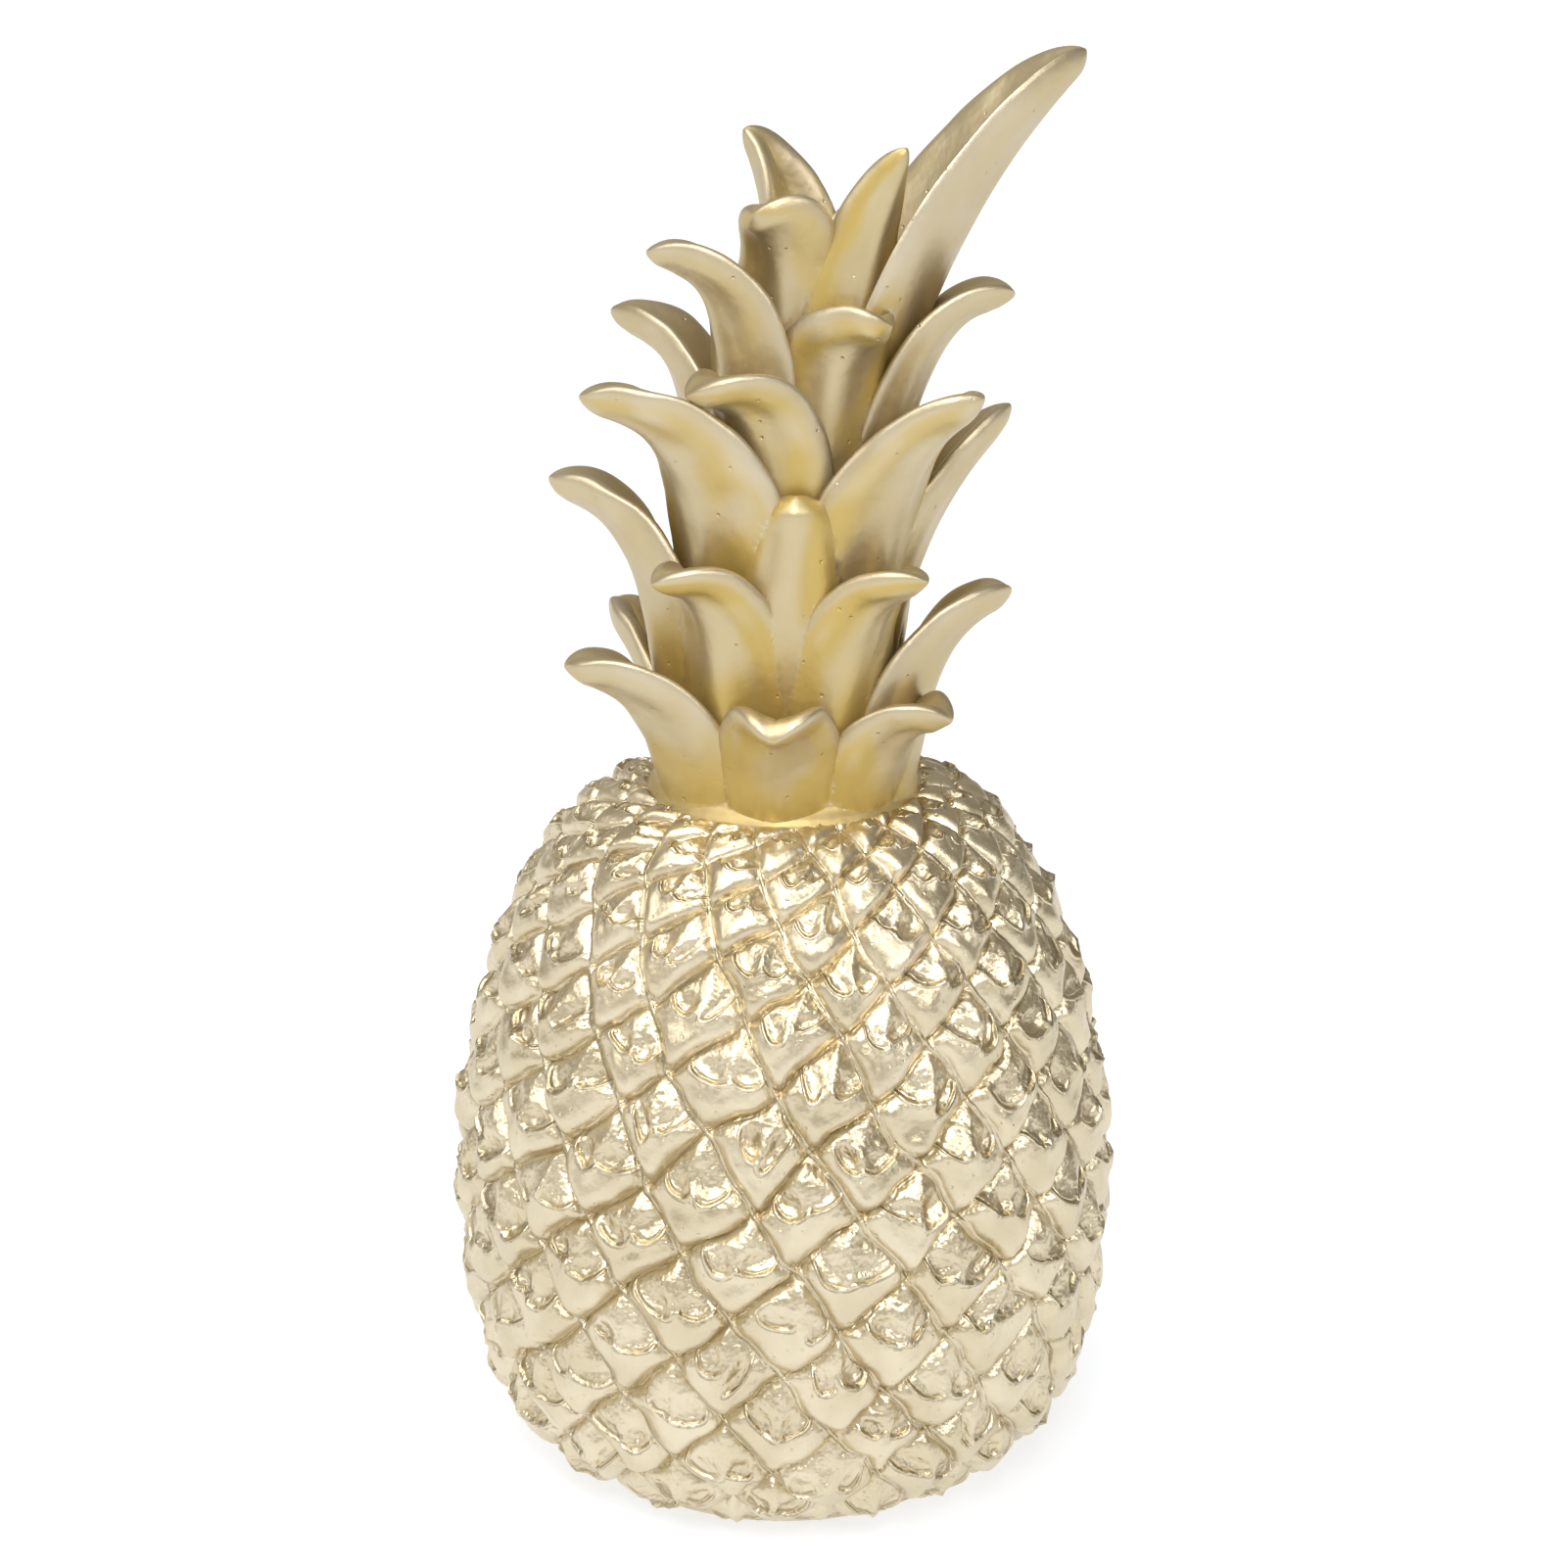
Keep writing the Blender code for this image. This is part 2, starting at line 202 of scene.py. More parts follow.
def crowd(share):
    """Return shares of a scale's edge, moved towards both its ends: t - c sin(2πt) / 2π."""
    return share - CROWDING * np.sin(2.0 * math.pi * share) / (2.0 * math.pi)


scale_a = steep_step // CELLS
scale_b = shallow_step // CELLS
local_a = crowd(steep_step % CELLS / CELLS)
local_b = crowd(shallow_step % CELLS / CELLS)
net_a = scale_a + local_a
net_b = scale_b + local_b
net_row = net_a + net_b * SHALLOW_DROP
azimuth = (FIRST_AZIMUTH + net_a * STEEP_TURN + net_b * SHALLOW_TURN
           + TWIST[0] * net_row ** 2 + TWIST[1] * net_row ** 3)
print("grid", columns, "columns of", length, "places")

# %% [markdown]
# ## The relief of one scale
# Every scale is a soft pillow whose full lower lip lies over the scales below. Its upper half is a
# small tent: a ridge comes down from the top corner to a cusp near the middle, with a wrinkled hollow
# on either side, and each hollow ends below in a thin raised rim like half a moustache. Steep grooves
# hold a thin cord, shallow ones a dark crack. The model was carved by hand, so no two scales agree.
# The relief is a height in millimetres, added up from such forms over the two coordinates of a scale.
# It could be painted as a displacement texture, but as an array it needs no unwrapping, and the
# random numbers of each scale can change its forms one by one. Those numbers come first, and with
# them how far a place is to the right on its scale and how far down.

# %% Random numbers and places on the scales
MOST_SCALES_UP, MOST_SCALES, TRAITS = 32, 64, 16

size = (at_row(radii, np.clip(net_row, TOP_ROW, BOTTOM_ROW)) / FRUIT_RADIUS) ** PITCH_TAPER
smooth_place = on_fruit(np.clip(net_row, TOP_ROW, BOTTOM_ROW), azimuth, 0.0)
luck = np.random.default_rng(11).normal(size=(MOST_SCALES, STEEP_SPIRALS, TRAITS)).clip(-2.0, 2.0)
luck = luck[scale_a + MOST_SCALES_UP, scale_b]

across = local_a - local_b
down = 0.5 * (local_a + local_b)
print(luck.shape[-1], "random numbers for each scale, from", luck.min(), "to", luck.max())

# %% [markdown]
# The two hollows are ovals in the upper half of a scale, one on either side of the ridge. They slope
# down towards the ridge and are deepest near their lower edge, just above the rim.

# %% Hollows
def hollow_with_rim(side, luck):
    """Return the height of one hollow, an oval dip whose lower half has a thin raised rim.

    The other two results are the place in the oval: 1 on its edge, and how far down it is.
    """
    middle = side * (0.33 + 0.05 * luck[..., 0])
    height = 0.38 + 0.04 * luck[..., 1]
    wide = 0.32 * (1.0 + 0.18 * luck[..., 2])
    tall = 0.13 * (1.0 + 0.16 * luck[..., 3])
    lean = 0.55 * (0.8 + 0.4 * luck[..., 4]) * side
    u = (across - middle) / wide
    v = (down - height) / tall + lean * u
    ring = np.hypot(u, v)
    dip = -(1.2 + 0.4 * luck[..., 5]) * (1.0 - ease(ring, 0.5, 1.0)) * ease(v, -1.1, 0.35)
    rim = (0.42 + 0.16 * luck[..., 6]) * bell(ring - 1.07, 0.19) * ease(v, -0.1, 0.6)
    return dip + rim, ring, v


left_hollow, left_ring, left_low = hollow_with_rim(-1.0, luck[..., :7])
right_hollow, right_ring, right_low = hollow_with_rim(1.0, luck[..., 7:14])
ring = np.minimum(left_ring, right_ring)
low = np.where(left_ring < right_ring, left_low, right_low)
print("hollows down to", round(min(left_hollow.min(), right_hollow.min()), 2), "mm")

# %% [markdown]
# The other forms are added to the hollows: the pillow, the tent with its ridge and cusp, fine wrinkles
# on the upper half, and dents of three sizes.

# %% Forms of the scales
pillow = 1.2 - 1.1 * across ** 2 - 1.4 * ((down - 0.66) / 0.55) ** 2
tent = -0.8 + 0.8 * ease(down, 0.04, 0.60)
ridge = (0.7 + 0.22 * luck[..., 14]) * bell(across - 0.03 * luck[..., 15], 0.11)
ridge = ridge * ease(down, 0.0, 0.10) * (1.0 - ease(down, 0.44, 0.60))
cusp = 0.35 * bell(across, 0.10) * bell(down - 0.50 - 0.03 * luck[..., 7], 0.06)
wrinkle = ripple(smooth_place, 1.8, 3) * 0.06 * (1.0 - ease(down, 0.50, 0.70))
dents = (ripple(smooth_place, 1.9, 2) * 0.04 + ripple(smooth_place, 3.2, 4) * 0.16
         + ripple(smooth_place, 6.5, 5) * 0.26)
forms = np.maximum(pillow, -2.2) + tent + ridge + cusp + left_hollow + right_hollow + wrinkle + dents
print("forms from", round(forms.min(), 2), "to", round(forms.max(), 2), "mm")

# %% [markdown]
# Towards the two grooves above it a scale drops steeply, and towards the two below it its lip rounds
# off. The grooves get their cords, lips and knots. The relief ends at the collar and fades out near
# the ground, and it gets lower where the scales get smaller. The edges of a scale are 14 mm long.

# %% Grooves between the scales
GROOVE_FLOOR = -2.35
EDGE_A, EDGE_B = 13.9, 14.2
UPPER_EDGE = (2.1, 2.0)
LOWER_LIP = (3.4, 2.4)


def fallen(local, edge_length):
    """Return how far a scale has dropped beside its two grooves: 1 at a groove and 0 inside.

    Each side takes (1 - distance / reach) ** power. The upper edge drops steeply over a short way,
    and the lower lip rounds off over a longer one.
    """
    reach, power = UPPER_EDGE
    upper = np.clip(1.0 - local * edge_length / reach, 0.0, 1.0) ** power
    reach, power = LOWER_LIP
    lower = np.clip(1.0 - (1.0 - local) * edge_length / reach, 0.0, 1.0) ** power
    return upper + lower


edge = np.clip(1.0 - fallen(local_a, EDGE_A) - fallen(local_b, EDGE_B), 0.0, 1.0) ** 0.6
from_steep = np.minimum(local_b, 1.0 - local_b) * EDGE_B
from_shallow = np.minimum(local_a, 1.0 - local_a) * EDGE_A
cord = 0.9 * bell(from_steep, 0.42) * (0.75 + 0.35 * ripple(smooth_place, 5.0, 6))
lips = 0.3 * bell(from_shallow - 0.8, 0.45) * (0.5 + 0.5 * ripple(smooth_place, 3.0, 7))
knot = 0.6 * bell(np.hypot(from_steep, from_shallow), 1.3)
relief = GROOVE_FLOOR + (forms - GROOVE_FLOOR) * edge + cord + lips + knot
below_collar = ease(net_row, TOP_ROW, TOP_ROW + 0.10)
above_ground = 1.0 - ease(net_row, BOTTOM_ROW - 1.3, BOTTOM_ROW)
relief = relief * size * below_collar * above_ground
print("relief from", round(relief.min(), 2), "to", round(relief.max(), 2), "mm")

# %% [markdown]
# ## The fruit's mesh
# The grid's points now go onto the fruit, with the grooves wandering a little. What lies past an end
# of the fruit is held on the circle there.

# %% Points of the fruit
END_MARGIN = 0.015
MEAN_RADIUS = 50.0

inside = (net_row > TOP_ROW + END_MARGIN) & (net_row < BOTTOM_ROW - END_MARGIN)
held_row = np.where(inside, net_row, np.where(net_row < 0.0, TOP_ROW, BOTTOM_ROW))
wander = np.stack([0.55 * ripple(smooth_place, 9.0, seed) + 0.22 * ripple(smooth_place, 3.6, seed + 2)
                   for seed in (8, 9)], axis=-1)
wander = wander * np.where(inside, ease(6.5 - np.abs(net_row), 0.0, 1.0), 0.0)[..., None]
place = on_fruit(held_row + wander[..., 0] / SCALE_PITCH,
                 azimuth + np.degrees(wander[..., 1] / MEAN_RADIUS), np.where(inside, relief, 0.0))
print(inside.sum(), "of", inside.size, "places lie on the fruit")

# %% [markdown]
# Four neighbours make a face. The next column starts at another steep step, so the places beside are
# shifted by the difference. Faces that lie wholly past an end are left out. The open edge at each end
# is then a ring of points on a level circle, in order of azimuth, and one many-sided face closes it.

# %% Faces of the fruit
number = np.arange(columns * length).reshape(columns, length)
step_down = np.arange(length - 1)
shift = (column_start[:columns] - column_start[1:])[:, None]
beside = step_down[None, :] + shift
next_column = (np.arange(columns) + 1) % columns
fits = beside + 1 < length
beside = np.minimum(beside, length - 2)
top = number[:, :-1]
right = number[:, 1:]
left = number[next_column[:, None], beside]
bottom = number[next_column[:, None], beside + 1]
quads = np.stack([top, left, bottom, right], axis=-1)
live = inside.ravel()
kept = fits & live[quads].any(axis=-1)
corner_a = (steep_step[:, :-1] % CELLS)[..., None] + np.array([0, 0, 1, 1])
corner_b = (shallow_step[:, :-1] % CELLS)[..., None] + np.array([0, 1, 1, 0])
corner_uv = np.stack([crowd(corner_a / CELLS), crowd(corner_b / CELLS)], axis=-1)[kept]
quads = quads[kept]

used, faces = np.unique(quads, return_inverse=True)
faces = faces.reshape(-1, 4)
points = place.reshape(-1, 3)[used]
held = ~live[used]
turn = np.arctan2(points[:, 0], -points[:, 1])
end_faces = []
for below in (True, False):
    circle = np.flatnonzero(held & ((points[:, 2] < 0.5 * FRUIT_TOP) == below))
    circle = circle[np.argsort(turn[circle])]
    end_faces.append(circle[::-1].tolist() if below else circle.tolist())
print(len(faces), "faces and", len(end_faces), "ends")

# %% [markdown]
# Some numbers are kept for the paint: the place of each corner within its scale as a UV map, and the
# height of the relief and the place in each hollow as attributes. So painted shade can darken the
# grooves, and lines finer than the mesh can be drawn exactly where the relief has them.

# %% The fruit
def mesh_object(name, points, faces):
    """Return a smooth-shaded object from points in millimetres and a list of faces."""
    mesh = bpy.data.meshes.new(name)
    mesh.from_pydata(points * MM, [], faces)
    mesh.update()
    mesh.shade_smooth()
    made = bpy.data.objects.new(name, mesh)
    scene.collection.objects.link(made)
    return made


def keep_on_points(made, name, values):
    """Store one number for each vertex as an attribute that a material can read."""
    attribute = made.data.attributes.new(name, "FLOAT", "POINT")
    attribute.data.foreach_set("value", values.astype(np.float32).ravel())


fruit = mesh_object("fruit", points, faces.tolist() + end_faces)
uv = np.zeros((len(fruit.data.loops), 2), np.float32)
uv[:corner_uv.shape[0] * 4] = corner_uv.reshape(-1, 2)
fruit.data.uv_layers.new(name="scale").data.foreach_set("uv", uv.ravel())
for name, values in (("relief", relief), ("ring", ring), ("low", low)):
    keep_on_points(fruit, name, values.ravel()[used])
fruit.data.calc_loop_triangles()
print("fruit:", len(fruit.data.vertices), "vertices,", len(fruit.data.loop_triangles), "triangles")

# %% [markdown]
# ## The leaves
# Each leaf rises from the stalk, bends outward and ends in a blunt tip. The table says where each of
# them starts and ends and how wide it is. The stalk gets thinner upward, and it leans to the right
# more and more.

# %% Stalk and table of leaves
STALK_FOOT, STALK_TOP = 112.0, 210.0
STALK_FOOT_RADIUS, STALK_TOP_RADIUS = 20.0, 6.0
CROWN_LEAN = 11.0
LEAN_HEIGHT = 106.0

# Each leaf has its foot azimuth, turn of the tip, foot height, tip reach, tip height, tip pitch, width
LEAVES = np.array((
    # lowest ring, standing on the collar
    (-3, 0, 120, 35, 143, -28, 21.5), (44, 8, 120, 35, 142, -22, 21.5), (-54, -12, 120, 41, 150, 0, 24),
    (70, 14, 120, 37.5, 160, 15, 26), (-108, -10, 120, 35, 152, 20, 21), (146, 0, 120, 34, 147, 10, 22),
    (-160, 0, 120, 35, 149, 15, 22),
    # second ring, between the first
    (-28, -14, 130, 35, 167, -8, 22), (27, 14, 130, 33, 167, 5, 22), (-3, 0, 138, 22, 181, 84, 20),
    (-76, -10, 132, 42.5, 179, 10, 25), (124, 0, 134, 30, 172, 30, 21), (176, 0, 134, 34, 170, 20, 22),
    (-134, 0, 134, 30, 172, 35, 21),
    # third ring
    (-42, -20, 148, 43.5, 197, 8, 28), (42, 10, 148, 34.5, 197, 32, 27), (88, 8, 148, 34, 190, 45, 21),
    (-20, -20, 158, 33, 198, -12, 23), (155, 0, 152, 31, 194, 30, 20), (-146, 0, 152, 35, 189, 25, 21),
    # fourth ring
    (4, 26, 168, 21, 208, 18, 27), (80, 4, 170, 31, 210, -5, 22), (-50, -20, 172, 33, 219, 5, 20.5),
    (-98, -6, 168, 36.5, 205, 5, 21), (140, 0, 172, 26, 214, 35, 18), (-165, 0, 172, 28, 214, 35, 19),
    # top cluster with the one tall leaf
    (-42, -2, 178, 21.5, 226, 22, 21), (22, 8, 184, 15, 236, 62, 18), (195, 43, 188, 22, 235, 58, 17.5),
    (172, 0, 186, 15, 222, 60, 16), (99, 0, 184, 34.5, 249, 54, 31),
), float)


def crown_middle(height):
    """Return how far right the crown's middle line lies, growing with the square of the height."""
    return CROWN_LEAN * (np.maximum(height - FRUIT_TOP, 0.0) / LEAN_HEIGHT) ** 2


def stalk_radius(height):
    """Return the stalk's radius, which tapers evenly from its foot to its top."""
    share = (height - STALK_FOOT) / (STALK_TOP - STALK_FOOT)
    return STALK_FOOT_RADIUS + (STALK_TOP_RADIUS - STALK_FOOT_RADIUS) * share


print(len(LEAVES), "leaves on a stalk of", STALK_TOP - STALK_FOOT, "mm")

# %% [markdown]
# A Bezier curve in the upright plane through the stalk joins the foot of each leaf to its tip. All
# leaves are worked out at once, as one array with an axis for the leaf, one for the place along it
# and one for the place round it. The number `s` runs from 0 at the foot to 1 at the tip, in steps
# that get shorter towards the tip.

# %% Middle lines of the leaves
STATIONS = 44

s = (1.0 - (1.0 - np.linspace(0.0, 0.9995, STATIONS)) ** 1.6)[None, :, None]
leaf_azimuth, leaf_turn, foot, reach, top_height, pitch, width = (v[:, None, None] for v in LEAVES.T)

start = np.stack([stalk_radius(foot) + 0.5, foot])
end = np.stack([reach, top_height])
chord = np.hypot(*(end - start))
after_start = start + chord * np.array([0.10, 0.42])[:, None, None, None]
before_end = end - chord * 0.36 * np.stack([np.cos(np.radians(pitch)), np.sin(np.radians(pitch))])
leaf_line = (start * (1 - s) ** 3 + 3 * after_start * (1 - s) ** 2 * s
             + 3 * before_end * (1 - s) * s ** 2 + end * s ** 3)
leaf_way = (3 * (after_start - start) * (1 - s) ** 2 + 6 * (before_end - after_start) * (1 - s) * s
            + 3 * (end - before_end) * s ** 2)
leaf_way = leaf_way / np.hypot(*leaf_way)
print("middle lines of", leaf_line.shape[2], "places, the longest chord", round(chord.max(), 1), "mm")

# %% [markdown]
# Round the middle line goes a cross-section: a smooth outer face, full rounded edges, and a channel
# along the middle of the inner face. The number `u` runs across it, from -1 at one edge to 1 at the
# other. A few leaves have a blunter tip, are cupped more or are rolled to one side, as in the
# photograph.

# %% Cross-sections of the leaves
HALF_FACE = 13
LEAF_THICKNESS = 5.0
FRONT, CENTRE, LEFT_HOOD, HOOD, TOP_HOOD, TALL = 0, 9, 17, 20, 26, 30


def roll(distance, radius):
    """Return a quarter circle: 0 at the edge, rising steeply, and 1 from `radius` on inwards."""
    t = np.clip(distance / radius, 0.0, 1.0)
    return np.sqrt(1.0 - (1.0 - t) ** 2)


blunt = np.full(len(LEAVES), 3.4)
blunt[[FRONT, CENTRE, LEFT_HOOD, HOOD, TOP_HOOD, TALL]] = 5.0, 9.0, 5.0, 6.0, 9.0, 4.5
blunt = blunt[:, None, None]
cup = np.full(len(LEAVES), 0.42)
cup[TALL] = 0.7
cup = cup[:, None, None]
rolled = np.zeros(len(LEAVES))
rolled[[TOP_HOOD, TALL]] = -20.0, 4.0
rolled = np.radians(rolled)[:, None, None] * ease(s, 0.0, 0.3)
swell = 0.86 + 0.14 * np.sin(math.pi * np.minimum(s / 0.7, 1.0))
half = 0.5 * width * swell * (1.0 - s ** blunt) ** 0.6
thick = 0.5 * LEAF_THICKNESS * np.minimum(1.0, 0.45 + half / 9.0) * roll((1.0 - s) * chord, 3.0)

spread = 0.5 * (1.0 + np.cos(np.linspace(0.0, math.pi, HALF_FACE + 1)))
face = np.concatenate([-spread[:-1], spread[::-1][:-1]])
u = np.concatenate([face, -face])[None, None, :]
ROUND = u.size
inner = (np.arange(ROUND) >= ROUND // 2)[None, None, :]
rounding = roll((1.0 - np.abs(u)) * half, np.maximum(thick, 1e-6))
body = 1.0 - ease(s, 0.75, 0.97)
midrib = (0.30 * bell(u, 0.45) + 0.16 * bell(u, 0.05)) * body
side = rounding * (1.0 - 0.30 * u ** 2) * np.where(inner, -1.0 + midrib, 1.0)
outer = np.where(inner, 0.0, 1.0)
facets = 0.22 * bell(np.abs(u) - 0.42, 0.16) * ease(s, 0.1, 0.5) * body * outer
flare = np.where(foot < 125.0, 2.4, 0.8) * (1.0 - ease(s, 0.0, 0.16)) * outer * rounding
lift = side * thick * (1.0 - facets) + flare - cup * half * np.abs(u) ** 1.9
print("cross-sections of", ROUND, "points, the thickest", round(2.0 * thick.max(), 1), "mm")

# %% [markdown]
# Now the cross-sections are set on the middle lines, and the crown's lean is added. Where a leaf
# swings sideways its width is tilted, so that it stays nearly square to the line.

# %% Leaves in place
tilt = np.radians(np.clip(1.5 * leaf_turn, -42.0, 42.0)) * s ** 2
edgeways = u * half * np.cos(rolled) - lift * np.sin(rolled)
lift = u * half * np.sin(rolled) + lift * np.cos(rolled)
sideways, lengthways = edgeways * np.cos(tilt), -edgeways * np.sin(tilt)

radius = leaf_line[0] + lift * leaf_way[1] + lengthways * leaf_way[0]
height = leaf_line[1] - lift * leaf_way[0] + lengthways * leaf_way[1]
angle = np.radians(leaf_azimuth + leaf_turn * s ** 2)
leaf_points = np.stack([crown_middle(height) + radius * np.sin(angle) + sideways * np.cos(angle),
                        -radius * np.cos(angle) + sideways * np.sin(angle), height], axis=-1)
leaf_points = leaf_points + 0.10 * ripple(leaf_points, 5.0, 21)[..., None]
print(len(LEAVES), "leaves of", leaf_points.shape[1] * leaf_points.shape[2], "points")

# %% [markdown]
# The leaves get painted shade in ochre near their feet and in the channels. On the outer faces beside
# the middle, most on the leaves that face the camera, the ochre is painted shade and a painted
# reflection of the gold fruit. How strong it is goes onto the points as a number.

# %% Painted shade of the leaves
# painted shade and painted reflection on the outer faces, stronger on leaves that face the camera
front = 0.35 + 0.65 * ease(58.0 - np.abs(leaf_azimuth), 0.0, 30.0)
off_middle = np.abs(u) + 0.15 * ripple(leaf_points, 6.0, 22)
sides = ease(off_middle, 0.25, 0.75) * (1.0 - ease(np.abs(u), 0.84, 0.96))
# painted shade near the feet of the leaves and in their channels
low_part = 0.7 * (1.0 - ease(s + 0.08 * ripple(leaf_points, 9.0, 23), 0.15, 0.50))
on_outer = outer * front * (0.40 + 0.60 * sides)
in_channel = (1.0 - outer) * 0.5 * bell(u, 0.5)
leaf_shade = np.clip(on_outer + in_channel + low_part, 0.01, 1.0)
print("ochre from", round(leaf_shade.min(), 2), "to", round(leaf_shade.max(), 2))

# %% [markdown]
# ## One casting
# On the real crown the leaves, the stalk and the small collar that joins them to the fruit are one
# piece, with narrow creases where they meet. A voxel remesh would also join them, but it would fill
# those creases and dull the rims of the leaves. A Boolean union keeps every face where it is and only
# takes away what lies inside another part. The Manifold solver does this in a moment for closed parts.

# %% Closed parts of the crown
STALK_RINGS, COLLAR_RINGS, AROUND = 40, 60, 96
COLLAR = np.array(((12.0, 118.0), (23.8, 118.0), (23.8, 123.2), (23.3, 124.8), (22.2, 126.2),
                   (21.0, 128.6), (20.2, 131.0), (19.4, 133.5), (12.0, 134.5)))


def tube_faces(rings, around):
    """Return the faces of a closed tube: quads between neighbouring rings and one face at each end."""
    ring = np.arange(rings - 1)[:, None] * around
    k = np.arange(around)[None, :]
    after = (k + 1) % around
    quads = np.stack([ring + k, ring + after, ring + around + after, ring + around + k], axis=-1)
    ends = [list(range(around - 1, -1, -1)), list(range((rings - 1) * around, rings * around))]
    return quads.reshape(-1, 4).tolist() + ends


def turned(profile):
    """Return points of a turned body: each (radius, height) pair swept round the leaning middle line."""
    spin = np.linspace(0.0, 2.0 * math.pi, AROUND, endpoint=False)[None, :]
    r, z = profile[:, :1], profile[:, 1:] + 0.0 * spin
    return np.stack([crown_middle(z) + r * np.sin(spin), -r * np.cos(spin), z], axis=-1).reshape(-1, 3)


stalk_heights = np.linspace(STALK_FOOT, STALK_TOP, STALK_RINGS)
stalk = turned(np.stack([stalk_radius(stalk_heights), stalk_heights], axis=-1))
collar = turned(through(COLLAR, COLLAR_RINGS))


def crown_part(name, points, faces, ochre_shade):
    """Return a part of the crown whose points know how strong their painted shade is."""
    made = mesh_object(name, points, faces)
    keep_on_points(made, "ochre_shade", ochre_shade)
    return made


# the stalk and the collar sit in shade under the leaves and get strong painted shade all over
crown = crown_part("crown", stalk, tube_faces(STALK_RINGS, AROUND), np.full(len(stalk), 0.8))
others = bpy.data.collections.new("parts of the crown")
parts = [crown_part("collar", collar, tube_faces(COLLAR_RINGS, AROUND), np.full(len(collar), 0.7))]
parts += [crown_part(f"leaf_{k}", points.reshape(-1, 3), tube_faces(STATIONS, ROUND), ochre_shade)
          for k, (points, ochre_shade) in enumerate(zip(leaf_points, leaf_shade), 1)]
for part in parts:
    scene.collection.objects.unlink(part)
    others.objects.link(part)
print("parts of the crown:", len(parts) + 1)

# %% [markdown]
# The union loses nothing that the parts know, but it makes new points where two parts cross. Those
# take their painted shade from their neighbours. How deep a point lies in a crease comes from the same
# neighbours: the mesh is blurred ten times, and a point in a crease then ends up further out.

# %% Union
BLUR_ROUNDS = 10
SHARP_EDGE = math.radians(50.0)

union = crown.modifiers.new("union", "BOOLEAN")
union.operation = "UNION"
union.operand_type = "COLLECTION"
union.collection = others
union.solver = "MANIFOLD"
joined = bpy.data.meshes.new_from_object(crown.evaluated_get(bpy.context.evaluated_depsgraph_get()))
crown.modifiers.clear()
crown.data = joined
for part in parts:
    bpy.data.objects.remove(part, do_unlink=True)
bpy.data.collections.remove(others)
joined.shade_smooth()
joined.set_sharp_from_angle(angle=SHARP_EDGE)


def neighbour_mean(values, pairs, count):
    """Return for each vertex the mean of its neighbours' values, added up along the edges."""
    total = np.stack([np.bincount(pairs[:, 0], values[pairs[:, 1], k], len(values))
                      + np.bincount(pairs[:, 1], values[pairs[:, 0], k], len(values))
                      for k in range(values.shape[1])], axis=-1)
    return total / count[:, None]


def read_out(items, name, width, kind=np.float32):
    """Return the values of a mesh's vertices or edges as an array with `width` columns."""
    values = np.zeros(len(items) * width, kind)
    items.foreach_get(name, values)
    return values.reshape(-1, width)


pairs = read_out(joined.edges, "vertices", 2, np.int32)
count = np.maximum(np.bincount(pairs.ravel(), minlength=len(joined.vertices)), 1).astype(float)
skin = read_out(joined.vertices, "co", 3).astype(float)
outward = read_out(joined.vertices, "normal", 3)
blurred = skin.copy()
for _ in range(BLUR_ROUNDS):
    blurred = neighbour_mean(blurred, pairs, count)
keep_on_points(crown, "recess", ((blurred - skin) * outward).sum(axis=1) / MM)
# new points where parts cross take their painted shade from their neighbours
tone = read_out(joined.attributes["ochre_shade"].data, "value", 1)[:, 0]
known = (tone > 0.0).astype(float)
around = neighbour_mean(np.stack([tone * known, known], axis=-1), pairs, count)
tone = np.where(known > 0.0, tone, around[:, 0] / np.maximum(around[:, 1], 1e-6))
joined.attributes["ochre_shade"].data.foreach_set("value", tone.astype(np.float32))
joined.calc_loop_triangles()
print("crown:", len(joined.vertices), "vertices,", len(joined.loop_triangles), "triangles")

# %% [markdown]
# ## Writing shader maths
# A material is a graph of nodes, and graphs are hard to read as code. The class `Wire` wraps the
# output of a node, so that sums and products of wires add their Math nodes by themselves. Every other
# node comes from one method of `Graph`, which takes its type, its settings and what goes into its
# sockets. The short methods below it give names to the nodes that are used again and again.

# %% Wires and graphs
class Wire:
    """One output of a node, which can be added, taken away and multiplied as a number can."""

    def __init__(self, graph, socket):
        self.graph = graph
        self.socket = socket

    def maths(self, operation, first, second):
        return self.graph.add("Math", {"operation": operation}, {0: first, 1: second})

    def __add__(self, other):
        return self.maths("ADD", self, other)

    def __sub__(self, other):
        return self.maths("SUBTRACT", self, other)

    def __rsub__(self, other):
        return self.maths("SUBTRACT", other, self)

    def __mul__(self, other):
        return self.maths("MULTIPLY", self, other)

    __radd__ = __add__
    __rmul__ = __mul__


